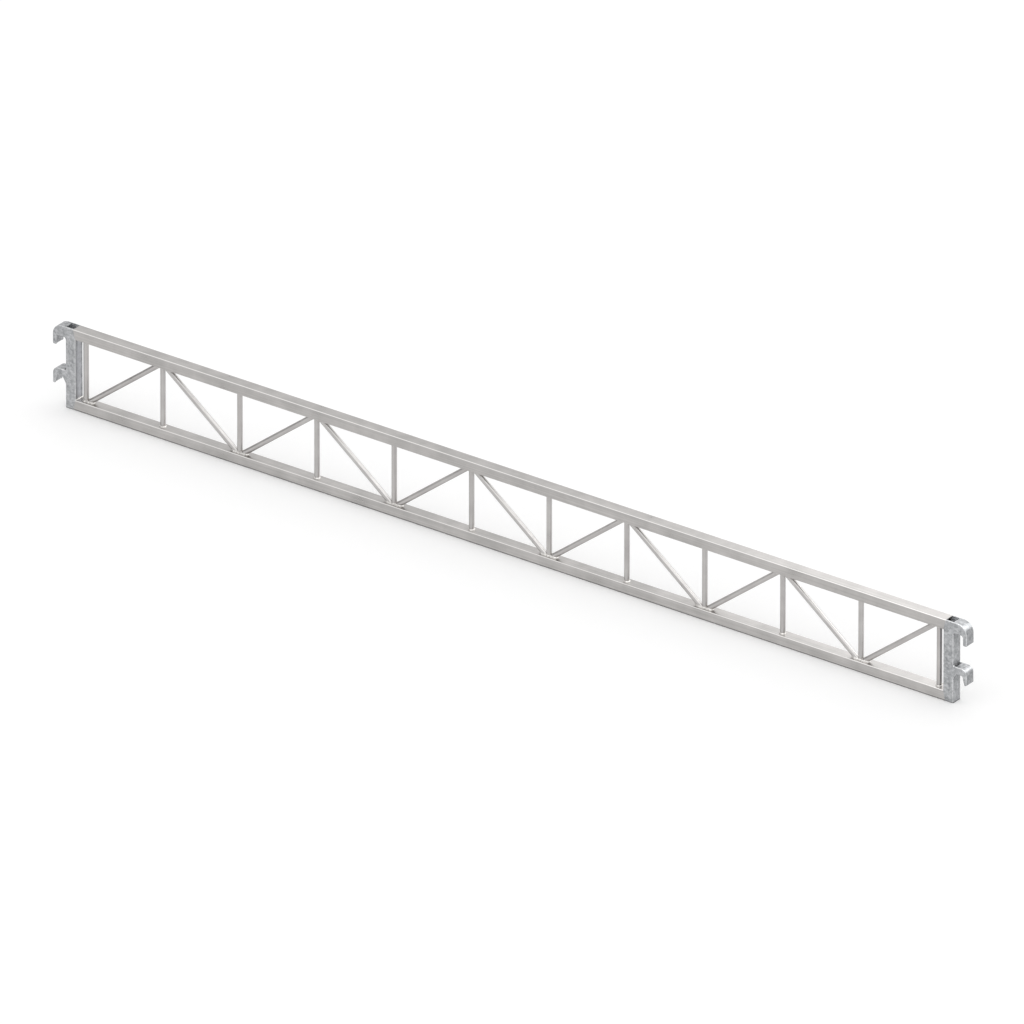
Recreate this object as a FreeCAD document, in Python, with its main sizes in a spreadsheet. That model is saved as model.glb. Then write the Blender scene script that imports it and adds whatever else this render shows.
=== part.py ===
"""Aluminium lattice girder with two galvanised steel hook heads, standing on its bottom chord.

X runs along the girder, Y across it and Z up. The origin is the middle of the underside.
"""
import FreeCAD, Part
import os
import Sketcher

# Driving dimensions in millimetres (panel_count is a number of bays): alias, value, meaning.
SIZES = [
    ("hook_span", 3000, "length over the hooks"),
    ("girder_height", 240, "underside of bottom chord to top of top chord"),
    ("girder_depth", 34, "depth of chords and heads, front to rear"),
    ("chord_height", 30, "height of one chord tube"),
    ("chord_wall", 2.5, "wall of the chord tube"),
    ("chord_edge", 2.5, "rounding of the chord's long edges"),
    ("panel_count", 11, "bays between uprights"),
    ("tube_diameter", 15, "web tube, outside"),
    ("tube_wall", 2, "web tube, wall"),
    ("node_offset", 12, "upright axis to diagonal axis, on the chord face"),
    ("end_gap", 24, "mouth of the head to the axis of the end upright"),
    ("head_width", 32, "head from its outer face to its mouth"),
    ("mitre_run", 7, "how far the outer edge of a chord runs into the head"),
    ("cheek_plate", 4, "thickness of a cheek plate"),
    ("plate_edge", 2, "rounding of a cheek's outside edges"),
    ("strap_plate", 4, "thickness of a strap and of the head's outer wall"),
    ("liner_plate", 3, "thickness of a throat liner at its roof"),
    ("wall_plate", 3, "thickness of the head's inner wall"),
    ("wall_recess", 1, "inner wall, in from the mouth of the head"),
    ("drain_gap", 8, "slot between the head's outer face and the lower hook's strap"),
    ("hook_reach", 43, "hook, out from the head's outer face"),
    ("upper_crown", 30, "outer radius over the upper hook"),
    ("upper_drop", 60.5, "upper hook, top to tip"),
    ("upper_throat", 31.5, "upper hook, top to roof of the throat"),
    ("upper_tip", 12, "thickness of the upper tip"),
    ("lower_level", 129.5, "girder top to top of the lower hook"),
    ("lower_crown", 18, "outer radius over the lower hook"),
    ("lower_drop", 47.5, "lower hook, top to tip"),
    ("lower_throat", 21, "lower hook, top to roof of the throat"),
    ("lower_tip", 7, "thickness of the lower tip at its end"),
    ("lower_tip_root", 13.4, "thickness of the lower tip at the throat's roof"),
    ("gusset_reach", 11, "gusset under the lower hook, out from the head"),
    ("gusset_drop", 19, "gusset under the lower hook, downwards"),
    ("tip_round", 3, "rounding of the hook tips"),
    ("throat_round", 8, "rounding of the throats"),
    ("root_round", 4, "rounding where the lower hook leaves the head"),
    ("tongue_thickness", 8, "tongue plate inside a chord end"),
    ("tongue_margin", 15, "last screw to the end of the tongue"),
    ("screw_diameter", 6, "screw shank"),
    ("screw_setback", 42, "end upright axis to first screw"),
    ("screw_pitch", 25, "first screw to second screw"),
]

# Places worked out from the driving dimensions, measured from mid-length.
HEAD_FACE = "(Sizes.hook_span / 2 - Sizes.hook_reach)"
MOUTH = f"({HEAD_FACE} - Sizes.head_width)"
END_UPRIGHT = f"({MOUTH} - Sizes.end_gap)"
PANEL = f"(2 * {END_UPRIGHT} / Sizes.panel_count)"
CHORD_END = f"({MOUTH} + Sizes.mitre_run)"
TOP_CHORD_Z = "(Sizes.girder_height - Sizes.chord_height)"
TOP_TONGUE_Z = f"({TOP_CHORD_Z} + Sizes.chord_wall)"
WEB_RISE = "(Sizes.girder_height - 2 * Sizes.chord_height)"
WEB_RUN = f"({PANEL} - 2 * Sizes.node_offset)"
WEB_LENGTH = f"hypot({WEB_RUN}; {WEB_RISE})"
FIRST_SCREW = f"({END_UPRIGHT} - Sizes.screw_setback)"
SECOND_SCREW = f"({FIRST_SCREW} - Sizes.screw_pitch)"
TONGUE_END = f"({SECOND_SCREW} - Sizes.tongue_margin)"
TONGUE_ROOT = f"({HEAD_FACE} - Sizes.strap_plate)"
TONGUE_WIDTH = "(Sizes.girder_depth - 2 * max(Sizes.cheek_plate; Sizes.chord_wall))"
STRAP_WIDTH = "(Sizes.girder_depth - 2 * Sizes.cheek_plate)"

# Heights on the head, measured from the underside of the girder.
UPPER_TIP_Z = "(Sizes.girder_height - Sizes.upper_drop)"
UPPER_ROOF_Z = "(Sizes.girder_height - Sizes.upper_throat)"
LOWER_TOP_Z = "(Sizes.girder_height - Sizes.lower_level)"
LOWER_TIP_Z = f"({LOWER_TOP_Z} - Sizes.lower_drop)"
LOWER_ROOF_Z = f"({LOWER_TOP_Z} - Sizes.lower_throat)"

# Throat side of the hook tips, out from the head's outer face: at the roof and where the strap ends.
UPPER_TIP_ROOT = "(Sizes.hook_reach - Sizes.upper_tip)"
LOWER_TIP_ROOT = "(Sizes.hook_reach - Sizes.lower_tip_root)"
LOWER_TAPER = "((Sizes.lower_tip_root - Sizes.lower_tip) / (Sizes.lower_drop - Sizes.lower_throat))"
LOWER_TIP_END = f"(Sizes.hook_reach - Sizes.lower_tip - {LOWER_TAPER} * Sizes.tip_round)"

NEAR = 1e-4
Y_AXIS = FreeCAD.Vector(0, 1, 0)

doc = FreeCAD.newDocument("lattice_girder")
sheet = doc.addObject("Spreadsheet::Sheet", "Sizes")
for row, (alias, value, meaning) in enumerate(SIZES, start=1):
    sheet.set(f"A{row}", meaning)
    sheet.set(f"B{row}", str(value))
    sheet.setAlias(f"B{row}", alias)
doc.recompute()

nodes = []


def number(expression):
    """Value of an expression over the sheet."""
    return float(sheet.evalExpression(expression.replace("Sizes.", "")))


def node(item, label):
    """Name a finished sub-part and keep it for writing."""
    item.Label = label
    nodes.append(item)
    return item


def place(item, x="0", y="0", z="0"):
    """Bind an object's place to expressions."""
    item.setExpression("Placement.Base.x", x)
    item.setExpression("Placement.Base.y", y)
    item.setExpression("Placement.Base.z", z)


def outline(body, name, plane, loops):
    """Sketch closed loops of straight edges whose corners are pairs of expressions."""
    sketch = body.newObject("Sketcher::SketchObject", name)
    origin = body.Origin.OriginFeatures
    sketch.AttachmentSupport = [(next(f for f in origin if f.Role == plane), "")]
    sketch.MapMode = "FlatFace"
    for corners in loops:
        first = sketch.GeometryCount
        count = len(corners)
        spots = [FreeCAD.Vector(number(x), number(y), 0) for x, y in corners]
        for i in range(count):
            sketch.addGeometry(Part.LineSegment(spots[i], spots[(i + 1) % count]), False)
        for i in range(count):
            after = first + (i + 1) % count
            sketch.addConstraint(Sketcher.Constraint("Coincident", first + i, 2, after, 1))
        for i, (x, y) in enumerate(corners):
            for kind, value, text in (("DistanceX", spots[i].x, x), ("DistanceY", spots[i].y, y)):
                index = sketch.addConstraint(Sketcher.Constraint(kind, -1, 1, first + i, 1, value))
                sketch.setExpression(f"Constraints[{index}]", text)
    return sketch


def pad(body, name, sketch, length, side="One side"):
    """Pad a sketch by an expression."""
    feature = body.newObject("PartDesign::Pad", name)
    feature.Profile = sketch
    feature.SideType = side
    feature.setExpression("Length", length)
    doc.recompute()
    return feature


def cut_through(body, name, sketch):
    """Cut a sketch right through the body, both ways, and check that it cut."""
    before = body.Shape.Volume
    feature = body.newObject("PartDesign::Pocket", name)
    feature.Profile = sketch
    feature.Type = "ThroughAll"
    feature.SideType = "Symmetric"
    doc.recompute()
    if body.Shape.Volume > before - NEAR:
        raise RuntimeError(f"{name} cut nothing")
    return feature


def round_edges(body, name, edges, radius):
    """Round named edges of the body's last feature by an expression."""
    base = body.Tip
    feature = body.newObject("PartDesign::Fillet", name)
    feature.Base = (base, edges)
    feature.setExpression("Radius", radius)
    doc.recompute()
    return feature


def edges_where(body, test):
    """Names of the last feature's edges that pass a test."""
    shape = body.Tip.Shape
    return [f"Edge{i}" for i, edge in enumerate(shape.Edges, start=1) if test(edge)]


def round_corners(body, name, corners, radius):
    """Round the straight cross edges of a padded profile that stand on given corners."""
    spots = [(number(x), number(z)) for x, z in corners]

    def on_corner(edge):
        ends = [vertex.Point for vertex in edge.Vertexes]
        if len(ends) < 2 or abs(ends[0].y - ends[1].y) < NEAR:
            return False
        return any(all(abs(p.x - x) < NEAR and abs(p.z - z) < NEAR for p in ends) for x, z in spots)

    edges = edges_where(body, on_corner)
    if len(edges) != len(corners):
        raise RuntimeError(f"{name} found {len(edges)} of {len(corners)} corners")
    return round_edges(body, name, edges, radius)


def cylinder(name, radius, height):
    """A Part cylinder bound to expressions."""
    item = doc.addObject("Part::Cylinder", name)
    item.setExpression("Radius", radius)
    item.setExpression("Height", height)
    return item


def box(name, length, width, height):
    """A Part box bound to expressions."""
    item = doc.addObject("Part::Box", name)
    item.setExpression("Length", length)
    item.setExpression("Width", width)
    item.setExpression("Height", height)
    return item


def boolean(kind, name, base, tool):
    """A two-part boolean: Cut, Common or Fuse."""
    item = doc.addObject(f"Part::{kind}", name)
    item.Base = base
    item.Tool = tool
    return item


def screw_shape(name, x, z):
    """One countersunk screw: its head fills the chord's lower wall, its shank the tongue."""
    head = doc.addObject("Part::Cone", f"{name}_head")
    head.setExpression("Radius1", "Sizes.screw_diameter / 2 + Sizes.chord_wall")
    head.setExpression("Radius2", "Sizes.screw_diameter / 2")
    head.setExpression("Height", "Sizes.chord_wall")
    place(head, x, "0", z)
    shank = cylinder(f"{name}_shank", "Sizes.screw_diameter / 2", "Sizes.tongue_thickness")
    place(shank, x, "0", f"{z} + Sizes.chord_wall")
    return boolean("Fuse", name, head, shank)


def chord(label, level, long_edge, short_edge, screws):
    """Extruded rectangular tube whose ends are mitred to sit on the cheeks of the heads."""
    body = doc.addObject("PartDesign::Body", f"{label}_body")
    half = "Sizes.girder_depth / 2"
    bore = f"({half} - Sizes.chord_wall)"
    roof = "(Sizes.chord_height - Sizes.chord_wall)"
    section = outline(body, f"{label}_section", "YZ_Plane", [
        [(f"-{half}", "0"), (half, "0"), (half, "Sizes.chord_height"), (f"-{half}", "Sizes.chord_height")],
        [(f"-{bore}", "Sizes.chord_wall"), (bore, "Sizes.chord_wall"), (bore, roof), (f"-{bore}", roof)],
    ])
    pad(body, f"{label}_extrusion", section, f"2 * {CHORD_END}", "Symmetric")
    outside = number(half)

    def on_outer_corner(edge):
        ends = [vertex.Point for vertex in edge.Vertexes]
        long = abs(ends[0].x - ends[-1].x) > number(CHORD_END)
        return long and abs(abs(ends[0].y) - outside) < NEAR

    round_edges(body, f"{label}_edges", edges_where(body, on_outer_corner), "Sizes.chord_edge")
    waste = []
    for sign in ("", "-"):
        tip = f"{sign}{CHORD_END}"
        waste.append([(tip, long_edge), (f"{sign}{MOUTH}", short_edge), (tip, short_edge)])
    mitres = outline(body, f"{label}_mitres", "XZ_Plane", waste)
    cut_through(body, f"{label}_mitre_cut", mitres)
    place(body, z=level)
    holes = doc.addObject("Part::MultiFuse", f"{label}_screw_holes")
    holes.Shapes = screws
    return node(boolean("Cut", f"{label}_drilled", body, holes), label)


def cheek(label, sign, y):
    """Cheek plate of a head: the post and both hooks in one outline, mitred for the chords."""
    body = doc.addObject("PartDesign::Body", f"{label}_body")
    reach = f"{sign}Sizes.hook_reach"
    mitre = f"{sign}(Sizes.mitre_run - Sizes.head_width)"
    mouth = f"{sign}(-Sizes.head_width)"
    upper_inner = f"{sign}{UPPER_TIP_ROOT}"
    lower_inner = f"{sign}(Sizes.hook_reach - Sizes.lower_tip)"
    lower_root = f"{sign}{LOWER_TIP_ROOT}"
    gusset = f"{sign}Sizes.gusset_reach"
    upper_crown = (reach, "Sizes.girder_height")
    upper_tip = [(reach, UPPER_TIP_Z), (upper_inner, UPPER_TIP_Z)]
    upper_roof = [(upper_inner, UPPER_ROOF_Z), ("0", UPPER_ROOF_Z)]
    lower_root_corner = ("0", LOWER_TOP_Z)
    lower_crown = (reach, LOWER_TOP_Z)
    lower_tip = [(reach, LOWER_TIP_Z), (lower_inner, LOWER_TIP_Z)]
    lower_roof = [(lower_root, LOWER_ROOF_Z)]
    gusset_edge = [(gusset, LOWER_ROOF_Z), ("0", f"{LOWER_ROOF_Z} - Sizes.gusset_drop")]
    foot = [("0", "0"), (mitre, "0"), (mouth, "Sizes.chord_height")]
    top = [(mouth, TOP_CHORD_Z), (mitre, "Sizes.girder_height")]
    profile = outline(body, f"{label}_profile", "XZ_Plane", [
        [upper_crown] + upper_tip + upper_roof + [lower_root_corner, lower_crown]
        + lower_tip + lower_roof + gusset_edge + foot + top,
    ])
    pad(body, f"{label}_plate", profile, "Sizes.cheek_plate")
    round_corners(body, f"{label}_upper_crown", [upper_crown], "Sizes.upper_crown")
    round_corners(body, f"{label}_lower_crown", [lower_crown], "Sizes.lower_crown")
    round_corners(body, f"{label}_tips", upper_tip + lower_tip, "Sizes.tip_round")
    round_corners(body, f"{label}_throats", upper_roof + lower_roof, "Sizes.throat_round")
    round_corners(body, f"{label}_root", [lower_root_corner, gusset_edge[0]], "Sizes.root_round")
    outer = 0 if number(y) > 0 else -number("Sizes.cheek_plate")
    seam = sorted((number(mitre), number(mouth)))

    def is_free_edge(edge):
        ends = [vertex.Point for vertex in edge.Vertexes]
        middle = (ends[0].x + ends[-1].x) / 2
        on_seam = seam[0] + NEAR < middle < seam[1] - NEAR
        return all(abs(p.y - outer) < NEAR for p in ends) and not on_seam

    round_edges(body, f"{label}_outside", edges_where(body, is_free_edge), "Sizes.plate_edge")
    place(body, f"{sign}{HEAD_FACE}", y)
    return node(body, label)


def strap(label, sign, start, top, tip, crown):
    """Steel strap bent over a hook between the cheeks, from its start down to the tip."""
    body = doc.addObject("PartDesign::Body", f"{label}_body")
    root = f"{sign}{start}"
    reach = f"{sign}Sizes.hook_reach"
    inner_reach = f"{sign}(Sizes.hook_reach - Sizes.strap_plate)"
    under = f"({top} - Sizes.strap_plate)"
    profile = outline(body, f"{label}_profile", "XZ_Plane", [[
        (reach, tip), (reach, top), (root, top), (root, under), (inner_reach, under), (inner_reach, tip),
    ]])
    pad(body, f"{label}_plate", profile, STRAP_WIDTH, "Symmetric")
    round_corners(body, f"{label}_crown", [(reach, top)], crown)
    round_corners(body, f"{label}_crown_inside", [(inner_reach, under)], f"{crown} - Sizes.strap_plate")
    round_corners(body, f"{label}_tip", [(reach, tip)], "Sizes.tip_round")
    place(body, f"{sign}{HEAD_FACE}")
    return node(body, label)


def liner(label, sign, tip, roof, tip_root, tip_end):
    """Folded plate that closes a hook's box along its throat, thickening towards the tip."""
    body = doc.addObject("PartDesign::Body", f"{label}_body")
    end = f"({tip} + Sizes.tip_round)"
    back = f"({roof} + Sizes.liner_plate)"
    fold = (f"{sign}{tip_root}", roof)
    profile = outline(body, f"{label}_profile", "XZ_Plane", [[
        (f"{sign}{tip_end}", end), fold, ("0", roof), ("0", back),
        (f"{sign}({tip_root} + Sizes.liner_plate)", back),
        (f"{sign}(Sizes.hook_reach - Sizes.strap_plate)", end),
    ]])
    pad(body, f"{label}_plate", profile, STRAP_WIDTH, "Symmetric")
    round_corners(body, f"{label}_fold", [fold], "Sizes.throat_round")
    place(body, f"{sign}{HEAD_FACE}")
    return node(body, label)


def wall(label, sign, start, thickness, floor, roof):
    """Upright plate across a head between its cheeks, from its start towards the outside."""
    plate = box(f"{label}_plate", thickness, STRAP_WIDTH, f"{roof} - {floor}")
    x = start if sign == "" else f"-({start} + {thickness})"
    place(plate, x, f"-{STRAP_WIDTH} / 2", floor)
    return node(plate, label)


def tongue(label, sign, level, screws):
    """Flat steel tongue from the head into the chord, lying on the chord's lower wall."""
    length = f"({TONGUE_ROOT} - {TONGUE_END})"
    start = TONGUE_END if sign == "" else f"-{TONGUE_ROOT}"
    bar = box(f"{label}_bar", length, TONGUE_WIDTH, "Sizes.tongue_thickness")
    place(bar, start, f"-{TONGUE_WIDTH} / 2", f"{level} + Sizes.chord_wall")
    holes = doc.addObject("Part::MultiFuse", f"{label}_holes")
    holes.Shapes = screws
    return node(boolean("Cut", f"{label}_drilled", bar, holes), label)


def upright(index):
    """Upright web tube, and the solid skin that copes the diagonals."""
    label = f"vertical_{index + 1:02d}"
    skin = cylinder(f"{label}_skin", "Sizes.tube_diameter / 2", WEB_RISE)
    bore = cylinder(f"{label}_bore", "Sizes.tube_diameter / 2 - Sizes.tube_wall", WEB_RISE)
    for item in (skin, bore):
        place(item, f"{index} * {PANEL} - {END_UPRIGHT}", "0", "Sizes.chord_height")
    node(boolean("Cut", f"{label}_tube", skin, bore), label)
    return skin


def diagonal(index, web_space, skins):
    """Diagonal web tube, trimmed flat to the chords and coped against both uprights."""
    label = f"diagonal_{index + 1:02d}"
    rising = index % 2 == 0
    lean = "" if rising else "-"
    corner = index if rising else index + 1
    low_x = f"({corner} * {PANEL} - {END_UPRIGHT} + {lean}Sizes.node_offset)"
    spare = "(2 * Sizes.tube_diameter)"
    tubes = []
    for part, radius in (("skin", "Sizes.tube_diameter / 2"),
                         ("bore", "Sizes.tube_diameter / 2 - Sizes.tube_wall")):
        item = cylinder(f"{label}_{part}", radius, f"{WEB_LENGTH} + 2 * {spare}")
        axis = Y_AXIS if rising else -Y_AXIS
        item.Placement = FreeCAD.Placement(FreeCAD.Vector(), FreeCAD.Rotation(axis, 45))
        item.setExpression("Placement.Rotation.Angle", f"atan2({WEB_RUN}; {WEB_RISE})")
        place(item, f"{low_x} - {lean}{spare} * {WEB_RUN} / {WEB_LENGTH}", "0",
              f"Sizes.chord_height - {spare} * {WEB_RISE} / {WEB_LENGTH}")
        tubes.append(item)
    tube = boolean("Cut", f"{label}_tube", *tubes)
    trimmed = boolean("Common", f"{label}_trimmed", tube, web_space)
    return node(boolean("Cut", f"{label}_coped", trimmed, skins), label)


def lattice():
    """All web tubes between the chords."""
    panels = int(number("Sizes.panel_count"))
    skins = doc.addObject("Part::MultiFuse", "upright_skins")
    skins.Shapes = [upright(index) for index in range(panels + 1)]
    web_space = box("web_space", f"2 * {MOUTH}", "Sizes.girder_depth", WEB_RISE)
    place(web_space, f"-{MOUTH}", "-Sizes.girder_depth / 2", "Sizes.chord_height")
    for index in range(panels):
        diagonal(index, web_space, skins)


def head(side, sign):
    """Steel head of one end: two cheeks with straps, throat liners and walls between them."""
    inner = "(Sizes.girder_depth / 2 - Sizes.cheek_plate)"
    cheek(f"front_cheek_{side}", sign, f"-{inner}")
    cheek(f"rear_cheek_{side}", sign, "Sizes.girder_depth / 2")
    strap(f"upper_strap_{side}", sign, "0", "Sizes.girder_height", UPPER_TIP_Z, "Sizes.upper_crown")
    strap(f"lower_strap_{side}", sign, "Sizes.drain_gap", LOWER_TOP_Z, LOWER_TIP_Z, "Sizes.lower_crown")
    liner(f"upper_liner_{side}", sign, UPPER_TIP_Z, UPPER_ROOF_Z, UPPER_TIP_ROOT, UPPER_TIP_ROOT)
    liner(f"lower_liner_{side}", sign, LOWER_TIP_Z, LOWER_ROOF_Z, LOWER_TIP_ROOT, LOWER_TIP_END)
    roof = f"max({TOP_TONGUE_Z}; {UPPER_ROOF_Z} + Sizes.liner_plate)"
    wall(f"outer_wall_{side}", sign, TONGUE_ROOT, "Sizes.strap_plate", "0", roof)
    floor = "(Sizes.chord_wall + Sizes.tongue_thickness)"
    wall(f"inner_wall_{side}", sign, f"({MOUTH} + Sizes.wall_recess)", "Sizes.wall_plate", floor, TOP_TONGUE_Z)


def chords_and_tongues():
    """Both chords, the tongues in their ends and the screws that hold them."""
    all_screws = []
    levels = {"top": TOP_CHORD_Z, "bottom": "0"}
    for name, level in levels.items():
        chord_screws = []
        for side, sign in (("left", "-"), ("right", "")):
            screws = [screw_shape(f"{name}_{side}_screw_{i}", f"{sign}{x}", level)
                      for i, x in enumerate((FIRST_SCREW, SECOND_SCREW), start=1)]
            tongue(f"{name}_tongue_{side}", sign, level, screws)
            chord_screws += screws
        long_edge, short_edge = ("Sizes.chord_height", "0") if name == "top" else ("0", "Sizes.chord_height")
        chord(f"{name}_chord", level, long_edge, short_edge, chord_screws)
        all_screws += chord_screws
    group = doc.addObject("Part::Compound", "screw_group")
    group.Links = all_screws
    node(group, "tongue_screws")


def check_and_write():
    """Stop on any failed object, then write one STEP file for each sub-part."""
    doc.recompute()
    failed = [item.Name for item in doc.Objects if {"Invalid", "Error"} & set(item.State)]
    failed += [item.Label for item in nodes if item.Shape.isNull() or not item.Shape.isValid()]
    if failed:
        raise RuntimeError(f"failed objects: {failed}")
    os.makedirs("parts", exist_ok=True)
    for item in nodes:
        item.Shape.exportStep(f"parts/{item.Label}.step")
        print(item.Label, len(item.Shape.Solids), round(item.Shape.Volume, 1))


chords_and_tongues()
lattice()
head("left", "-")
head("right", "")
check_and_write()
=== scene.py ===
"""Looks of an aluminium lattice girder with galvanised hook heads, in a pale studio.

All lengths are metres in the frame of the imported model: X along the girder, Y to the rear, Z up.
"""

import logging
import math
from dataclasses import dataclass
from enum import Enum
from typing import Any

import bpy
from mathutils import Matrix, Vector


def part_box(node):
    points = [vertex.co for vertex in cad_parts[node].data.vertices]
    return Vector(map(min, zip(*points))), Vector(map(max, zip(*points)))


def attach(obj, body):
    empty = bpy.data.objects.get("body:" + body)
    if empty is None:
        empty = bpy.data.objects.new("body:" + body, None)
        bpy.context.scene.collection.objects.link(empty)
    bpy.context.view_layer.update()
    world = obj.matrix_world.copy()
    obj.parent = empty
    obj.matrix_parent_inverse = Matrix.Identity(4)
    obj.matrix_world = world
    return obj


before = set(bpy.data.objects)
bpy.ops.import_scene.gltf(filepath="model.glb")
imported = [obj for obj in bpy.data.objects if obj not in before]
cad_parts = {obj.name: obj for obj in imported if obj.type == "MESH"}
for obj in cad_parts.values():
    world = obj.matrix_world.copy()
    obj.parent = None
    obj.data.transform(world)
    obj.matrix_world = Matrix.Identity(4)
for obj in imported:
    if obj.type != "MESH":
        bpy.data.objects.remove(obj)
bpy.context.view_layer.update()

log = logging.getLogger("girder")
Point = tuple[float, float, float]
MM = 0.001

# Angle in degrees between the diagonals and the chords.
WEB_SLOPE = 37.96

# A Mix node repeats its sockets' names for every type of data, so they are told apart by number.
MIX_SHARE, MIX_FROM, MIX_TO, MIXED = 0, 6, 7, 2
WARP_FROM, WARP_TO, WARPED = 4, 5, 1


def linear(code: str) -> tuple[float, float, float, float]:
    """Turn an sRGB hex colour into linear light.

    Args:
        code: Six hex digits after a hash.

    Returns:
        Linear red, green and blue with an alpha of 1.
    """
    parts = [int(code[i:i + 2], 16) / 255 for i in (1, 3, 5)]
    light = [c / 12.92 if c <= 0.04045 else ((c + 0.055) / 1.055) ** 2.4 for c in parts]
    return (light[0], light[1], light[2], 1.0)


def add(tree: bpy.types.NodeTree, kind: str, sockets: dict[str | int, Any],
        **settings: Any) -> bpy.types.Node:
    """Add one shader node with its settings, values and links.

    Args:
        tree: Node tree that gets the node.
        kind: Blender's name of the node's type.
        sockets: Input name or index to a value, or to the output socket that feeds it.
        **settings: Properties of the node itself.

    Returns:
        The new node.
    """
    made = tree.nodes.new(kind)
    for name, value in settings.items():
        setattr(made, name, value)
    for key, source in sockets.items():
        if isinstance(source, bpy.types.NodeSocket):
            tree.links.new(source, made.inputs[key])
        else:
            made.inputs[key].default_value = source
    return made


def blank_material(name: str) -> tuple[bpy.types.Material, bpy.types.NodeTree]:
    """Make a material with an empty node tree.

    Args:
        name: Name of the material.

    Returns:
        The material and its tree.
    """
    material = bpy.data.materials.new(name)
    material.use_nodes = True
    material.node_tree.nodes.clear()
    return material, material.node_tree


def long_edges(tree: bpy.types.NodeTree, up: float, lowest: float, full: float,
               share: float | bpy.types.NodeSocket) -> bpy.types.NodeSocket:
    """Add nodes that find the rounded edges between the broad side faces and the rest of a profile.

    Args:
        tree: Node tree that gets the nodes.
        up: 1 for the edges on the upper side, -1 for those on the underside.
        lowest: Least part of a normal towards that side.
        full: Product of the two squared parts of a normal from which the edge counts in full. It is
            0.25 in the middle of an edge.
        share: How much of the edge's finish shows there, as a number or an output socket.

    Returns:
        Output socket: 1 in the middle of a rounded edge, 0 on flat faces.
    """
    facing = add(tree, "ShaderNodeTexCoord", {}).outputs["Normal"]
    parts = add(tree, "ShaderNodeSeparateXYZ", {0: facing}).outputs
    across = parts["Y"]
    square = add(tree, "ShaderNodeMath", {0: across, 1: across}, operation="MULTIPLY").outputs[0]
    rest = add(tree, "ShaderNodeMath", {0: 1.0, 1: square}, operation="SUBTRACT").outputs[0]
    turn = add(tree, "ShaderNodeMath", {0: square, 1: rest}, operation="MULTIPLY").outputs[0]
    level = add(tree, "ShaderNodeMath", {0: parts["Z"], 1: up}, operation="MULTIPLY").outputs[0]
    reached = add(tree, "ShaderNodeMath", {0: level, 1: lowest}, operation="GREATER_THAN").outputs[0]
    edge = add(tree, "ShaderNodeMath", {0: turn, 1: reached}, operation="MULTIPLY").outputs[0]
    found = add(tree, "ShaderNodeMapRange", {"Value": edge, "From Max": full}).outputs["Result"]
    return add(tree, "ShaderNodeMath", {0: found, 1: share}, operation="MULTIPLY").outputs[0]


def contact_shadow_strip(tree: bpy.types.NodeTree, height: float) -> bpy.types.NodeSocket:
    """Add nodes that find the strip of the side faces next to the ground, which gets painted shadow.

    Args:
        tree: Node tree that gets the nodes.
        height: Height of the strip.

    Returns:
        Output socket: near 1 at the ground, 0 above the strip and on faces that look up or down.
    """
    # The strip carries painted contact shadow, darkest at the ground.
    side_until, flat_from = 0.94, 0.99
    solid_part, darkest = 0.3, 0.95
    coords = add(tree, "ShaderNodeTexCoord", {}).outputs
    rise = add(tree, "ShaderNodeSeparateXYZ", {0: coords["Normal"]}).outputs["Z"]
    tilt = add(tree, "ShaderNodeMath", {0: rise}, operation="ABSOLUTE").outputs[0]
    side = add(tree, "ShaderNodeMapRange", {
        "Value": tilt, "From Min": side_until, "From Max": flat_from, "To Min": 1.0, "To Max": 0.0,
    }).outputs["Result"]
    low = add(tree, "ShaderNodeMapRange", {
        "Value": add(tree, "ShaderNodeSeparateXYZ", {0: coords["Object"]}).outputs["Z"],
        "From Min": solid_part * height, "From Max": height, "To Min": darkest, "To Max": 0.0,
    }).outputs["Result"]
    return add(tree, "ShaderNodeMath", {0: side, 1: low}, operation="MULTIPLY").outputs[0]


def dress_node(name: str, material: bpy.types.Material) -> None:
    """Give a CAD node a finish in its own material slots.

    Args:
        name: Name of the node.
        material: Finish for the whole node.
    """
    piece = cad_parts[name]
    if not piece.material_slots:
        piece.data.materials.append(material)
    for slot in piece.material_slots:
        slot.material = material
    log.info("%s dressed", name)


class Inside(Enum):
    """Way in which a cheek plate's inner face looks along Y, or 0 for a plate without one."""

    NONE = 0
    REARWARD = 1
    FORWARD = -1


class Run(Enum):
    """Direction in which a profile left its die, as a turn about Y in degrees from +X."""

    ALONG = 0.0
    UPRIGHT = -90.0
    RISING = -WEB_SLOPE
    FALLING = WEB_SLOPE


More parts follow.
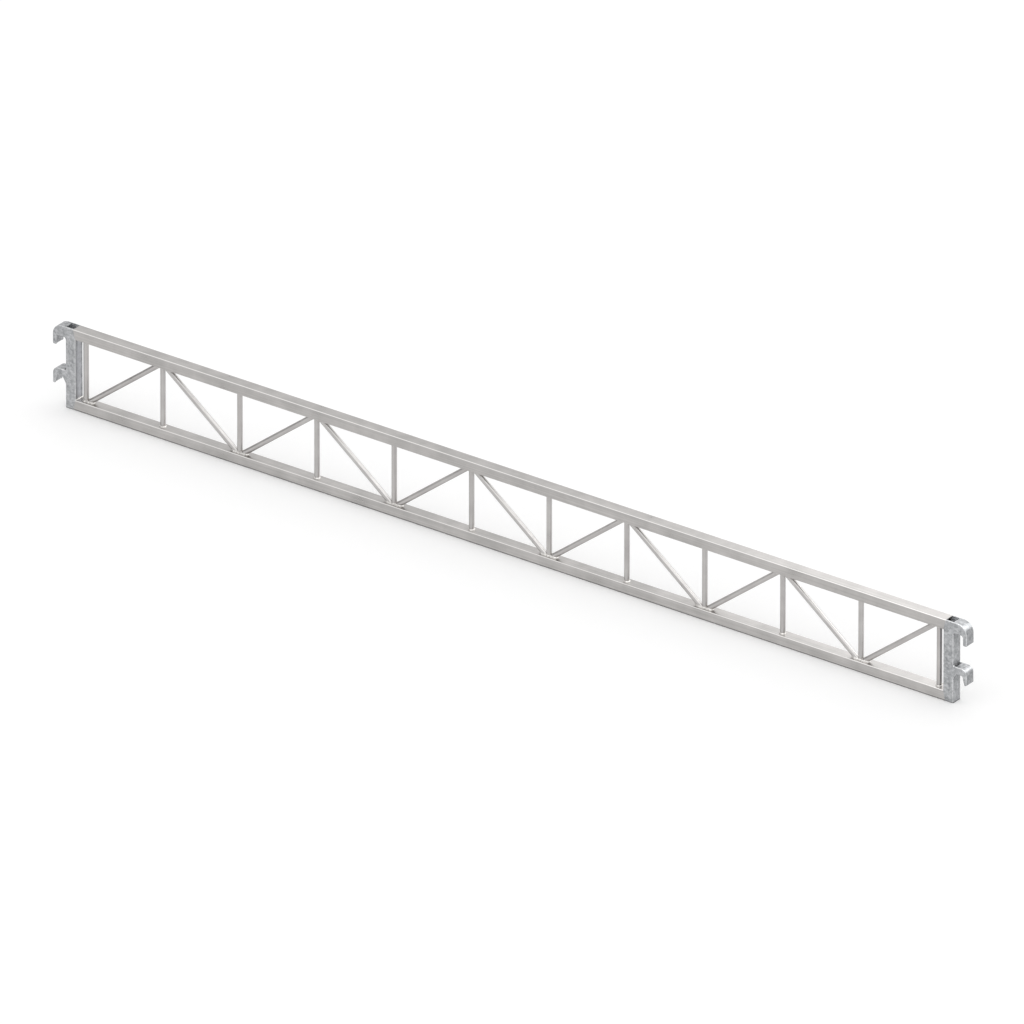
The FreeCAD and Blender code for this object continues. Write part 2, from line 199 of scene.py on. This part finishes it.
@dataclass(frozen=True)
class MillAluminium:
    """Mill-finish extruded aluminium: satin, faintly warm, with fine die lines along the profile.

    The chords' upper edges carry a painted highlight, and a painted contact shadow lies next to the
    ground.
    Real die lines are finer than a millimetre. They are drawn as coarse as they need to show.

    Attributes:
        light: Tone of the brightest lines.
        dark: Tone of the dullest lines.
        edge_highlight: Colour of the painted highlight on the chords' upper edges.
        painted_shade: Colour of the painted contact shadow.
        shadow_height: Height of the strip of painted contact shadow next to the ground.
        line_width: Width of a die line.
        line_length: Length over which a die line keeps its tone.
        cloud: Width of a soft blotch.
    """

    light: str = "#C2BFBD"
    dark: str = "#A7A5A3"
    # Painted highlight on the upper edges, then the colour and height of the painted contact shadow.
    edge_highlight: str = "#F5F3F1"
    painted_shade: str = "#232221"
    shadow_height: float = 4.6 * MM
    line_width: float = 2.2 * MM
    line_length: float = 700 * MM
    cloud: float = 60 * MM

    def material(self, run: Run) -> bpy.types.Material:
        """Build the finish for profiles that run one way.

        Args:
            run: Direction of the die lines.

        Returns:
            The material.
        """
        made, tree = blank_material(f"mill_aluminium_{run.name.lower()}")
        place = add(tree, "ShaderNodeTexCoord", {}).outputs["Object"]
        turned = add(tree, "ShaderNodeMapping", {
            "Vector": place,
            "Rotation": (0.0, math.radians(run.value), 0.0),
            "Scale": (self.line_length, self.line_width, self.line_width),
        }, vector_type="TEXTURE").outputs["Vector"]
        lines = add(tree, "ShaderNodeTexNoise", {
            "Vector": turned, "Scale": 1.0, "Detail": 3.0, "Roughness": 0.6,
        }).outputs["Fac"]
        clouds = add(tree, "ShaderNodeTexNoise", {
            "Vector": place, "Scale": 1 / self.cloud, "Detail": 4.0, "Roughness": 0.55,
        }).outputs["Fac"]
        both = add(tree, "ShaderNodeMath", {0: lines, 1: clouds}, operation="ADD").outputs[0]
        tone = add(tree, "ShaderNodeMapRange", {
            "Value": both, "From Min": 0.7, "From Max": 1.3,
        }).outputs["Result"]
        colour = add(tree, "ShaderNodeMix", {
            MIX_SHARE: tone, MIX_FROM: linear(self.dark), MIX_TO: linear(self.light),
        }, data_type="RGBA").outputs[MIXED]
        # Painted highlight on the chords' upper edges and painted contact shadow next to the ground.
        if run is Run.ALONG:
            highlit_edges = long_edges(tree, up=1, lowest=0.0, full=0.25, share=1.0)
            foot = contact_shadow_strip(tree, self.shadow_height)
            for covered, coat in ((highlit_edges, self.edge_highlight), (foot, self.painted_shade)):
                colour = add(tree, "ShaderNodeMix", {
                    MIX_SHARE: covered, MIX_FROM: colour, MIX_TO: linear(coat),
                }, data_type="RGBA").outputs[MIXED]
        rough = add(tree, "ShaderNodeMapRange", {
            "Value": clouds, "From Min": 0.3, "From Max": 0.7, "To Min": 0.27, "To Max": 0.35,
        }).outputs["Result"]
        relief = add(tree, "ShaderNodeBump", {
            "Height": lines, "Strength": 0.12, "Distance": 0.2 * MM,
        }).outputs["Normal"]
        shader = add(tree, "ShaderNodeBsdfPrincipled", {
            "Base Color": colour, "Metallic": 1.0, "Roughness": rough, "Normal": relief,
        }).outputs["BSDF"]
        add(tree, "ShaderNodeOutputMaterial", {"Surface": shader})
        return made


@dataclass(frozen=True)
class GalvanisedSteel:
    """Hot-dip galvanised steel: zinc crystals a few millimetres wide, dull and faintly blue.

    The end faces carry painted shade, the upper edges a painted highlight and the inner faces
    painted light. Painted shade lies on the lower edges and next to the ground.

    Attributes:
        name: Start of the material's name.
        light: Tone of the brightest crystals.
        dark: Tone of the dullest crystals.
        edge_highlight: Colour of the painted highlight on the upper edges.
        painted_shade: Colour of the painted shade on the lower edges and next to the ground.
        shadow_height: Height of the strip of painted shadow next to the ground.
        end_shade: Brightness of the end faces as painted shade, where 1 leaves them as they are.
        painted_light: Brightness of a cheek plate's inner face, painted light in the hollow between the
            cheeks.
        front_shade: Brightness of the front part, as painted shade.
        shade_depths: Places along Y between which the front part's shade fades out.
        faced: Part of a normal along X or Y from which a face starts to count as an end or inner face.
        metallic: Share of bare metal in the zinc's look.
        sheen: Roughness of the smoothest crystals.
        sheen_spread: How much rougher the roughest crystals are.
        crystal: Width of a zinc crystal.
        crystal_share: How much the crystals add to the blotches.
        warp: How far the crystals' borders wander.
        blotch: Width of a blotch.
    """

    name: str = "galvanised_steel"
    light: str = "#C4C5C7"
    dark: str = "#8D8F91"
    # Painted highlight on the upper edges, painted shade on the lower edges, next to the ground, on the
    # end faces and on the front part, and painted light on the inner faces.
    edge_highlight: str = "#E8E9EA"
    painted_shade: str = "#3A3B3C"
    shadow_height: float = 3.7 * MM
    end_shade: float = 0.9
    painted_light: float = 1.8
    front_shade: float = 1.0
    shade_depths: tuple[float, float] = (-11 * MM, -2 * MM)
    faced: float = 0.75
    metallic: float = 0.7
    sheen: float = 0.3
    sheen_spread: float = 0.15
    crystal: float = 4.5 * MM
    crystal_share: float = 0.28
    warp: float = 2.5 * MM
    blotch: float = 14 * MM

    def material(self, inside: Inside = Inside.NONE) -> bpy.types.Material:
        """Build the finish.

        Args:
            inside: Way in which the plate's inner face looks.

        Returns:
            The material.
        """
        made, tree = blank_material(f"{self.name}_{inside.name.lower()}")
        place = add(tree, "ShaderNodeTexCoord", {}).outputs["Object"]
        wander = add(tree, "ShaderNodeTexNoise", {
            "Vector": place, "Scale": 1 / self.crystal, "Detail": 2.0,
        }).outputs["Color"]
        bent = add(tree, "ShaderNodeMix", {
            MIX_SHARE: self.warp, WARP_FROM: place, WARP_TO: wander,
        }, data_type="VECTOR").outputs[WARPED]
        cells = add(tree, "ShaderNodeTexVoronoi", {"Vector": bent, "Scale": 1 / self.crystal})
        cell = add(tree, "ShaderNodeSeparateColor", {"Color": cells.outputs["Color"]}).outputs["Red"]
        blotches = add(tree, "ShaderNodeTexNoise", {
            "Vector": place, "Scale": 1 / self.blotch, "Detail": 5.0, "Roughness": 0.62,
        }).outputs["Fac"]
        part = add(tree, "ShaderNodeMath", {
            0: cell, 1: self.crystal_share,
        }, operation="MULTIPLY").outputs[0]
        both = add(tree, "ShaderNodeMath", {0: part, 1: blotches}, operation="ADD").outputs[0]
        tone = add(tree, "ShaderNodeMapRange", {
            "Value": both, "From Min": 0.4, "From Max": 0.88,
        }).outputs["Result"]
        colour = add(tree, "ShaderNodeMix", {
            MIX_SHARE: tone, MIX_FROM: linear(self.dark), MIX_TO: linear(self.light),
        }, data_type="RGBA").outputs[MIXED]
        facing = add(tree, "ShaderNodeTexCoord", {}).outputs["Normal"]
        normal = add(tree, "ShaderNodeSeparateXYZ", {0: facing}).outputs
        endwise = add(tree, "ShaderNodeMath", {0: normal["X"]}, operation="ABSOLUTE").outputs[0]
        inward = add(tree, "ShaderNodeMath", {
            0: normal["Y"], 1: inside.value,
        }, operation="MULTIPLY").outputs[0]
        depth = add(tree, "ShaderNodeSeparateXYZ", {0: place}).outputs["Y"]
        # Painted shade on the end faces, painted light on the inner faces and painted shade on the front
        # part.
        for value, start, end, least, most in ((endwise, self.faced, 1.0, 1.0, self.end_shade),
                                               (inward, self.faced, 1.0, 1.0, self.painted_light),
                                               (depth, *self.shade_depths, self.front_shade, 1.0)):
            shade = add(tree, "ShaderNodeMapRange", {
                "Value": value, "From Min": start, "From Max": end, "To Min": least, "To Max": most,
            }).outputs["Result"]
            colour = add(tree, "ShaderNodeVectorMath", {
                0: colour, "Scale": shade,
            }, operation="SCALE").outputs[0]
        # Painted highlight on the upper edges, patchy and left off edges that look to -X; painted shade
        # on the lower edges and next to the ground.
        patchy_highlight = add(tree, "ShaderNodeMapRange", {"Value": tone, "To Min": 0.35}).outputs["Result"]
        side = add(tree, "ShaderNodeMapRange", {
            "Value": normal["X"], "From Min": -0.6, "From Max": 0.0,
        }).outputs["Result"]
        share = add(tree, "ShaderNodeMath", {0: patchy_highlight, 1: side}, operation="MULTIPLY").outputs[0]
        highlit_edges = long_edges(tree, up=1, lowest=-0.3, full=0.12, share=share)
        shaded_edges = long_edges(tree, up=-1, lowest=0.3, full=0.12, share=0.8)
        foot = contact_shadow_strip(tree, self.shadow_height)
        for covered, coat in ((highlit_edges, self.edge_highlight), (shaded_edges, self.painted_shade), (foot, self.painted_shade)):
            colour = add(tree, "ShaderNodeMix", {
                MIX_SHARE: covered, MIX_FROM: colour, MIX_TO: linear(coat),
            }, data_type="RGBA").outputs[MIXED]
        rough = add(tree, "ShaderNodeMapRange", {
            "Value": cell, "To Min": self.sheen, "To Max": self.sheen + self.sheen_spread,
        }).outputs["Result"]
        relief = add(tree, "ShaderNodeBump", {
            "Height": both, "Strength": 0.2, "Distance": 0.3 * MM,
        }).outputs["Normal"]
        shader = add(tree, "ShaderNodeBsdfPrincipled", {
            "Base Color": colour, "Metallic": self.metallic, "Roughness": rough, "Normal": relief,
        }).outputs["BSDF"]
        add(tree, "ShaderNodeOutputMaterial", {"Surface": shader})
        return made


@dataclass(frozen=True)
class StainlessScrew:
    """Plain stainless screw: turned, a little darker than the chord.

    Attributes:
        colour: Colour of the steel.
        tool_mark: Width of a turning mark, coarser than a real one so that it shows.
    """

    colour: str = "#A9A9AB"
    tool_mark: float = 0.6 * MM

    def material(self) -> bpy.types.Material:
        """Build the finish.

        Returns:
            The material.
        """
        made, tree = blank_material("stainless_screw")
        place = add(tree, "ShaderNodeTexCoord", {}).outputs["Object"]
        marks = add(tree, "ShaderNodeTexNoise", {
            "Vector": place, "Scale": 1 / self.tool_mark, "Detail": 2.0,
        }).outputs["Fac"]
        rough = add(tree, "ShaderNodeMapRange", {
            "Value": marks, "From Min": 0.3, "From Max": 0.7, "To Min": 0.25, "To Max": 0.4,
        }).outputs["Result"]
        shader = add(tree, "ShaderNodeBsdfPrincipled", {
            "Base Color": linear(self.colour), "Metallic": 1.0, "Roughness": rough,
        }).outputs["BSDF"]
        add(tree, "ShaderNodeOutputMaterial", {"Surface": shader})
        return made


@dataclass(frozen=True)
class WeldMetal:
    """Fresh aluminium weld: brighter than the profiles, rippled, frosted and a little smutty.

    Attributes:
        light: Colour of the clean weld.
        dark: Colour under the smut.
        grain: Width of a grain of the frosted surface, coarser than a real one so that it shows.
        smut: Width of a patch of smut.
    """

    light: str = "#E9E7E4"
    dark: str = "#BDBAB7"
    grain: float = 0.9 * MM
    smut: float = 5 * MM

    def material(self) -> bpy.types.Material:
        """Build the finish.

        Returns:
            The material.
        """
        made, tree = blank_material("weld_metal")
        place = add(tree, "ShaderNodeTexCoord", {}).outputs["Object"]
        grain = add(tree, "ShaderNodeTexNoise", {
            "Vector": place, "Scale": 1 / self.grain, "Detail": 2.0,
        }).outputs["Fac"]
        smut = add(tree, "ShaderNodeTexNoise", {
            "Vector": place, "Scale": 1 / self.smut, "Detail": 4.0, "Roughness": 0.6,
        }).outputs["Fac"]
        tone = add(tree, "ShaderNodeMapRange", {
            "Value": smut, "From Min": 0.35, "From Max": 0.6,
        }).outputs["Result"]
        colour = add(tree, "ShaderNodeMix", {
            MIX_SHARE: tone, MIX_FROM: linear(self.dark), MIX_TO: linear(self.light),
        }, data_type="RGBA").outputs[MIXED]
        rough = add(tree, "ShaderNodeMapRange", {
            "Value": grain, "From Min": 0.3, "From Max": 0.7, "To Min": 0.3, "To Max": 0.5,
        }).outputs["Result"]
        relief = add(tree, "ShaderNodeBump", {
            "Height": grain, "Strength": 0.3, "Distance": 0.2 * MM,
        }).outputs["Normal"]
        shader = add(tree, "ShaderNodeBsdfPrincipled", {
            "Base Color": colour, "Metallic": 1.0, "Roughness": rough, "Normal": relief,
        }).outputs["BSDF"]
        add(tree, "ShaderNodeOutputMaterial", {"Surface": shader})
        return made


@dataclass
class Lattice:
    """Chords and web tubes of the girder.

    Attributes:
        chord: Finish of the chords.
        tube: Finish of the web tubes, a little lighter: painted light for the light they catch.
    """

    chord: MillAluminium = MillAluminium()
    # Lighter copy of the aluminium: painted light.
    tube: MillAluminium = MillAluminium(light="#C6C4C2", dark="#AEABAA")

    def dress(self) -> None:
        """Give each profile the aluminium finish that runs its own way."""
        finishes = {run: (self.chord if run is Run.ALONG else self.tube).material(run) for run in Run}
        for name in sorted(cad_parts):
            run = self.run_of(name)
            if run is not None:
                dress_node(name, finishes[run])

    @staticmethod
    def run_of(name: str) -> Run | None:
        """Find which way a node's profile runs. The diagonals rise and fall in turn, from the left.

        Args:
            name: Name of the CAD node.

        Returns:
            The direction, or None for a node that isn't aluminium.
        """
        if name.endswith("_chord"):
            return Run.ALONG
        if name.startswith("vertical_"):
            return Run.UPRIGHT
        if name.startswith("diagonal_"):
            return Run.RISING if int(name[-2:]) % 2 else Run.FALLING
        return None


@dataclass
class Heads:
    """Steel heads at both ends, with the tongues and screws inside the chords.

    Attributes:
        plate: Zinc of the cheek plates and liners.
        inside: Smooth zinc of the walls that look along the girder, with painted shade on the front
            part.
        bent: Darker zinc of the straps over the hooks, painted shade on their outer faces.
        outer: Dull zinc of the walls at the girder's ends.
        painted_light: Pale zinc of the tongues, painted light in the hollow of the heads.
        screw: Steel of the screws.
    """

    plate: GalvanisedSteel = GalvanisedSteel()
    # The inner wall's front part carries painted shade.
    inside: GalvanisedSteel = GalvanisedSteel(
        "smooth_galvanised_steel", light="#B9BABE", dark="#9C9DA1", end_shade=1.0, front_shade=0.66)
    # Darker copy of the zinc: painted shade on the hooks' outer faces.
    bent: GalvanisedSteel = GalvanisedSteel("shaded_strap_galvanised_steel", light="#BABBBD", dark="#848688")
    outer: GalvanisedSteel = GalvanisedSteel(
        "dull_galvanised_steel", light="#C8C9CB", dark="#8D8F91", metallic=0.35, sheen=0.45)
    # Pale copy of the zinc: painted light in the heads' hollows.
    painted_light: GalvanisedSteel = GalvanisedSteel("lightened_galvanised_steel", light="#EEEFF1", dark="#D2D4D6")
    screw: StainlessScrew = StainlessScrew()

    def dress(self) -> None:
        """Give the plates their zinc and the screws their steel."""
        zinc = {
            "front_cheek": self.plate.material(Inside.REARWARD),
            "rear_cheek": self.plate.material(Inside.FORWARD),
            "inner_wall": self.inside.material(), "outer_wall": self.outer.material(),
            "strap": self.bent.material(), "liner": self.plate.material(),
            "_tongue_": self.painted_light.material(),
        }
        for name in sorted(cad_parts):
            for word, material in zinc.items():
                if word in name:
                    dress_node(name, material)
        dress_node("tongue_screws", self.screw.material())


@dataclass
class Welds:
    """Weld beads around the ends of the web tubes and across the bottom chord's ends.

    Attributes:
        finish: Metal of the beads.
        leg: Width of the bead around an upright that stands alone.
        node_leg: Width of the beads where diagonals meet an upright.
        rise: Height of a bead along the tube, as a multiple of its width.
        stand_off: Distance from a tube's surface to the middle of its bead, as a share of its width.
        ripple: How far a rippled section swells.
        ripple_step: Number of sections from one rippled section to the next.
        sections: Number of sections around a bead.
        sides: Number of sides of a section.
        foot_offset: Distance from an upright's axis to the middle of a diagonal's foot.
        overlap: Where a diagonal's bead ends inside the upright, as a share of the upright's radius.
        seam_radius: Radius of the bead across the bottom chord.
        seam_pitch: Distance between its sections.
        seam_swell: Size of its thick sections compared with its thin ones.
        smooth_angle: Largest angle in degrees between faces that are shaded as one surface.
    """

    finish: WeldMetal = WeldMetal()
    leg: float = 1.7 * MM
    node_leg: float = 2.6 * MM
    rise: float = 1.7
    stand_off: float = 0.1
    ripple: float = 0.45 * MM
    ripple_step: int = 3
    sections: int = 72
    sides: int = 12
    foot_offset: float = 12 * MM
    overlap: float = 0.4
    seam_radius: float = 1.8 * MM
    seam_pitch: float = 1.1 * MM
    seam_swell: float = 1.12
    smooth_angle: float = 60.0

    def build(self) -> None:
        """Model every bead and dress it."""
        metal = self.finish.material()
        _, half_depth, lower_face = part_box("bottom_chord")[1]
        upper_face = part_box("top_chord")[0][2]
        uprights = [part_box(name) for name in sorted(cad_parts) if name.startswith("vertical_")]
        for index, (near, far) in enumerate(uprights):
            axis, radius = (near[0] + far[0]) / 2, (far[0] - near[0]) / 2
            for chord, level, up in (("bottom", lower_face, 1), ("top", upper_face, -1)):
                leans = [0]
                # The diagonals run from the foot of one upright to the head of the next and down again.
                if index % 2 == (0 if up > 0 else 1):
                    leans += [lean for lean in (-1, 1) if 0 <= index + lean < len(uprights)]
                leg = self.node_leg if len(leans) > 1 else self.leg
                rings = [self.ring(axis, level, up, radius, leg, lean) for lean in leans]
                self.finish_piece(rings, f"weld_{chord}_{index + 1:02d}", metal)
        for side, inner_corner in (("left", 1), ("right", 0)):
            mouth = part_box(f"front_cheek_{side}")[inner_corner][0]
            self.finish_piece([self.seam(mouth, half_depth, lower_face)], f"seam_bottom_{side}", metal)

    def ring(self, axis: float, level: float, up: int, radius: float, leg: float,
             lean: int) -> bpy.types.Object:
        """Model the bead around one tube's foot.

        Args:
            axis: X of the upright's axis.
            level: Height of the chord's face.
            up: 1 above the face, -1 below it.
            radius: Radius of the tube.
            leg: Width of the bead on the chord's face.
            lean: Side of the upright on which a diagonal's foot lies, or 0 for the upright itself.

        Returns:
            The bead.
        """
        bpy.ops.object.select_all(action="DESELECT")
        bpy.ops.mesh.primitive_torus_add(
            major_segments=self.sections, minor_segments=self.sides,
            major_radius=radius + self.stand_off * leg, minor_radius=leg, location=(0, 0, 0))
        bead = bpy.context.active_object
        for vertex in bead.data.vertices:
            vertex.select = (vertex.index // self.sides) % self.ripple_step == 0
        bpy.ops.object.mode_set(mode="EDIT")
        bpy.ops.transform.shrink_fatten(value=self.ripple)
        bpy.ops.mesh.select_all(action="SELECT")
        stretch = 1 / math.sin(math.radians(WEB_SLOPE)) if lean else 1
        bpy.ops.transform.resize(value=(stretch, 1, self.rise))
        foot = axis + lean * self.foot_offset
        bpy.ops.transform.translate(value=(foot, 0, level))
        bpy.ops.mesh.bisect(plane_co=(0, 0, level), plane_no=(0, 0, up), use_fill=True, clear_inner=True)
        if lean:
            bpy.ops.mesh.select_all(action="SELECT")
            bpy.ops.mesh.bisect(
                plane_co=(axis + lean * self.overlap * radius, 0, 0), plane_no=(lean, 0, 0),
                use_fill=True, clear_inner=True)
        bpy.ops.object.mode_set(mode="OBJECT")
        return bead

    def seam(self, mouth: float, half_depth: float, level: float) -> bpy.types.Object:
        """Model the bead across a chord's face where it meets a head.

        Args:
            mouth: X of the head's mouth.
            half_depth: Half the depth of the chord.
            level: Height of the chord's face.

        Returns:
            The bead.
        """
        bpy.ops.object.select_all(action="DESELECT")
        steps = round(2 * (half_depth - self.seam_pitch) / self.seam_pitch)
        bpy.ops.mesh.primitive_circle_add(
            vertices=self.sides, radius=self.seam_radius, fill_type="NGON",
            location=(0, 0, 0), rotation=(math.pi / 2, 0, 0))
        bead = bpy.context.active_object
        bpy.ops.object.transform_apply(location=False, rotation=True, scale=False)
        bpy.ops.object.mode_set(mode="EDIT")
        bpy.ops.mesh.select_all(action="SELECT")
        bpy.ops.transform.translate(value=(mouth, self.seam_pitch - half_depth, level))
        for step in range(steps):
            bpy.ops.mesh.extrude_region_move(TRANSFORM_OT_translate={"value": (0, self.seam_pitch, 0)})
            swell = self.seam_swell if step % 2 == 0 else 1 / self.seam_swell
            bpy.ops.transform.resize(value=(swell, 1, swell))
        bpy.ops.mesh.select_all(action="SELECT")
        bpy.ops.mesh.normals_make_consistent(inside=False)
        bpy.ops.mesh.bisect(plane_co=(0, 0, level), plane_no=(0, 0, 1), use_fill=True, clear_inner=True)
        bpy.ops.object.mode_set(mode="OBJECT")
        return bead

    def finish_piece(self, beads: list[bpy.types.Object], name: str, metal: bpy.types.Material) -> None:
        """Join beads into one piece of the model and dress it.

        Args:
            beads: Beads of one joint.
            name: Name of the piece.
            metal: Finish of the piece.
        """
        bpy.ops.object.select_all(action="DESELECT")
        for bead in beads:
            bead.select_set(True)
        piece = beads[0]
        bpy.context.view_layer.objects.active = piece
        if len(beads) > 1:
            bpy.ops.object.join()
        bpy.ops.object.shade_smooth_by_angle(angle=math.radians(self.smooth_angle))
        piece.name = name
        piece.data.materials.clear()
        piece.data.materials.append(metal)
        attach(piece, "root")
        log.info("%s modelled", name)


@dataclass(frozen=True)
class SoftBox:
    """Soft box whose face shows only in the metal.

    Attributes:
        name: Name of the lamp.
        place: Middle of its face.
        aim: Point that it faces.
        size: Width and height of its face.
        radiance: Brightness of its face, where 1 is white.
    """

    name: str
    place: Point
    aim: Point
    size: tuple[float, float]
    radiance: float

    def hang(self) -> None:
        """Add the lamp to the scene."""
        data = bpy.data.lights.new(self.name, "AREA")
        data.shape = "RECTANGLE"
        data.size, data.size_y = self.size
        data.energy = self.radiance * math.pi * self.size[0] * self.size[1]
        lamp = bpy.data.objects.new(self.name, data)
        bpy.context.scene.collection.objects.link(lamp)
        lamp.location = self.place
        lamp.rotation_mode = "QUATERNION"
        lamp.rotation_quaternion = (Vector(self.aim) - Vector(self.place)).to_track_quat("-Z", "Y")
        lamp.visible_camera = False
        lamp.visible_diffuse = False
        log.info("%s hung", self.name)


@dataclass
class Studio:
    """Pale floor, soft boxes, grey card, white surround and the camera of the photograph.

    Attributes:
        floor_half: Half the floor's width.
        floor_colour: Colour of the floor.
        floor_glow: Light that the floor adds where the eye sees it, so that it turns white.
        mirrored_white: How white the floor shows in the metal.
        boxes: Lamps behind, over and to the right of the girder.
        flag_place: Middle of the grey card.
        flag_size: Height and depth of the grey card.
        flag_colour: Colour of the grey card.
        azimuth: Turn of the camera from the front to the right, in degrees.
        elevation: Rise of the camera, in degrees.
        view_width: Width of the picture at the girder.
        aim: Point in the middle of the picture.
        lens: Focal length in millimetres, so long that the view is nearly parallel.
        sensor: Width of the camera's sensor in millimetres.
    """

    floor_half: float = 30.0
    floor_colour: str = "#F8F8F8"
    floor_glow: float = 0.11
    mirrored_white: float = 0.8
    boxes: tuple[SoftBox, ...] = (
        SoftBox("back_box", place=(1.35, 2.65, 2.0), aim=(1.35, 0.0, 0.1),
                size=(5.1, 1.8), radiance=0.78),
        SoftBox("top_box", place=(1.45, -0.7, 2.9), aim=(1.45, -0.7, 0.0),
                size=(3.5, 5.0), radiance=1.25),
        SoftBox("right_box", place=(2.85, 2.44, 1.85), aim=(1.49, 0.0, 0.2),
                size=(2.0, 1.7), radiance=2.9),
    )
    flag_place: Point = (-3.2, -0.8, 0.5)
    flag_size: tuple[float, float] = (0.7, 2.2)
    flag_colour: str = "#8A8A8A"
    azimuth: float = 36.2
    elevation: float = 27.092
    view_width: float = 2.71368
    aim: Point = (0.0051, 0.0, 0.12134)
    lens: float = 1700.0
    sensor: float = 36.0

    @staticmethod
    def seen(tree: bpy.types.NodeTree) -> bpy.types.NodeSocket:
        """Add nodes that give 1 for what the eye sees directly, in a mirror or through glass.

        Args:
            tree: Node tree that gets the nodes.

        Returns:
            The output socket.
        """
        path = add(tree, "ShaderNodeLightPath", {})
        two = add(tree, "ShaderNodeMath", {
            0: path.outputs["Is Camera Ray"], 1: path.outputs["Is Glossy Ray"],
        }, operation="MAXIMUM").outputs[0]
        return add(tree, "ShaderNodeMath", {
            0: two, 1: path.outputs["Is Transmission Ray"],
        }, operation="MAXIMUM").outputs[0]

    def build_world(self) -> None:
        """White surround, like the inside of a light tent."""
        world = bpy.data.worlds.new("white_surround")
        bpy.context.scene.world = world
        world.use_nodes = True
        tree = world.node_tree
        tree.nodes.clear()
        light = add(tree, "ShaderNodeBackground", {"Color": (1, 1, 1, 1), "Strength": 1.0})
        add(tree, "ShaderNodeOutputWorld", {"Surface": light.outputs[0]})

    def build_floor(self) -> None:
        """Pale floor that keeps the girder's soft shadow and shows the surround's white elsewhere."""
        bpy.ops.object.select_all(action="DESELECT")
        bpy.ops.mesh.primitive_plane_add(size=2 * self.floor_half, location=(0, 0, 0))
        floor = bpy.context.active_object
        floor.name = "studio_floor"
        made, tree = blank_material("pale_floor")
        matt = add(tree, "ShaderNodeBsdfDiffuse", {"Color": linear(self.floor_colour)}).outputs[0]
        path = add(tree, "ShaderNodeLightPath", {}).outputs
        strength = add(tree, "ShaderNodeMath", {
            0: self.seen(tree), 1: self.floor_glow,
        }, operation="MULTIPLY").outputs[0]
        glow = add(tree, "ShaderNodeEmission", {"Color": (1, 1, 1, 1), "Strength": strength}).outputs[0]
        both = add(tree, "ShaderNodeAddShader", {0: matt, 1: glow}).outputs[0]
        white = add(tree, "ShaderNodeEmission", {"Color": (1, 1, 1, 1), "Strength": 1.0}).outputs[0]
        share = add(tree, "ShaderNodeMath", {
            0: path["Is Glossy Ray"], 1: self.mirrored_white,
        }, operation="MULTIPLY").outputs[0]
        mixed = add(tree, "ShaderNodeMixShader", {0: share, 1: both, 2: white}).outputs[0]
        add(tree, "ShaderNodeOutputMaterial", {"Surface": mixed})
        floor.data.materials.append(made)

    def build_flag(self) -> None:
        """Stand a grey card at the left, which draws a dark line along the rising tubes."""
        bpy.ops.object.select_all(action="DESELECT")
        bpy.ops.mesh.primitive_plane_add(
            size=1.0, location=self.flag_place, rotation=(0, math.pi / 2, 0))
        flag = bpy.context.active_object
        flag.name = "grey_flag"
        flag.scale = (*self.flag_size, 1.0)
        bpy.ops.object.transform_apply(location=True, rotation=True, scale=True)
        made, tree = blank_material("grey_card")
        matt = add(tree, "ShaderNodeBsdfDiffuse", {"Color": linear(self.flag_colour)}).outputs[0]
        add(tree, "ShaderNodeOutputMaterial", {"Surface": matt})
        flag.data.materials.append(made)
        flag.visible_camera = flag.visible_diffuse = flag.visible_shadow = False

    def build_camera(self) -> None:
        """Camera at the photograph's angle, with a very long lens."""
        data = bpy.data.cameras.new("camera")
        camera = bpy.data.objects.new("camera", data)
        bpy.context.scene.collection.objects.link(camera)
        turn, rise = math.radians(self.azimuth), math.radians(self.elevation)
        level = math.cos(rise)
        back = Vector((math.sin(turn) * level, -math.cos(turn) * level, math.sin(rise)))
        data.lens = self.lens
        data.sensor_width = self.sensor
        distance = self.view_width * self.lens / self.sensor
        data.clip_start = 1.0
        data.clip_end = 3 * distance
        camera.location = Vector(self.aim) + back * distance
        camera.rotation_mode = "QUATERNION"
        camera.rotation_quaternion = (-back).to_track_quat("-Z", "Y")
        bpy.context.scene.camera = camera

    def build(self) -> None:
        """Set up the whole studio."""
        bpy.context.scene.view_settings.view_transform = "Standard"
        self.build_world()
        self.build_floor()
        for box in self.boxes:
            box.hang()
        self.build_flag()
        self.build_camera()
        log.info("studio built")


def main() -> None:
    """Build and dress the girder, then the studio."""
    logging.basicConfig(level=logging.INFO)
    Lattice().dress()
    Heads().dress()
    Welds().build()
    Studio().build()


if __name__ == "__main__":
    main()
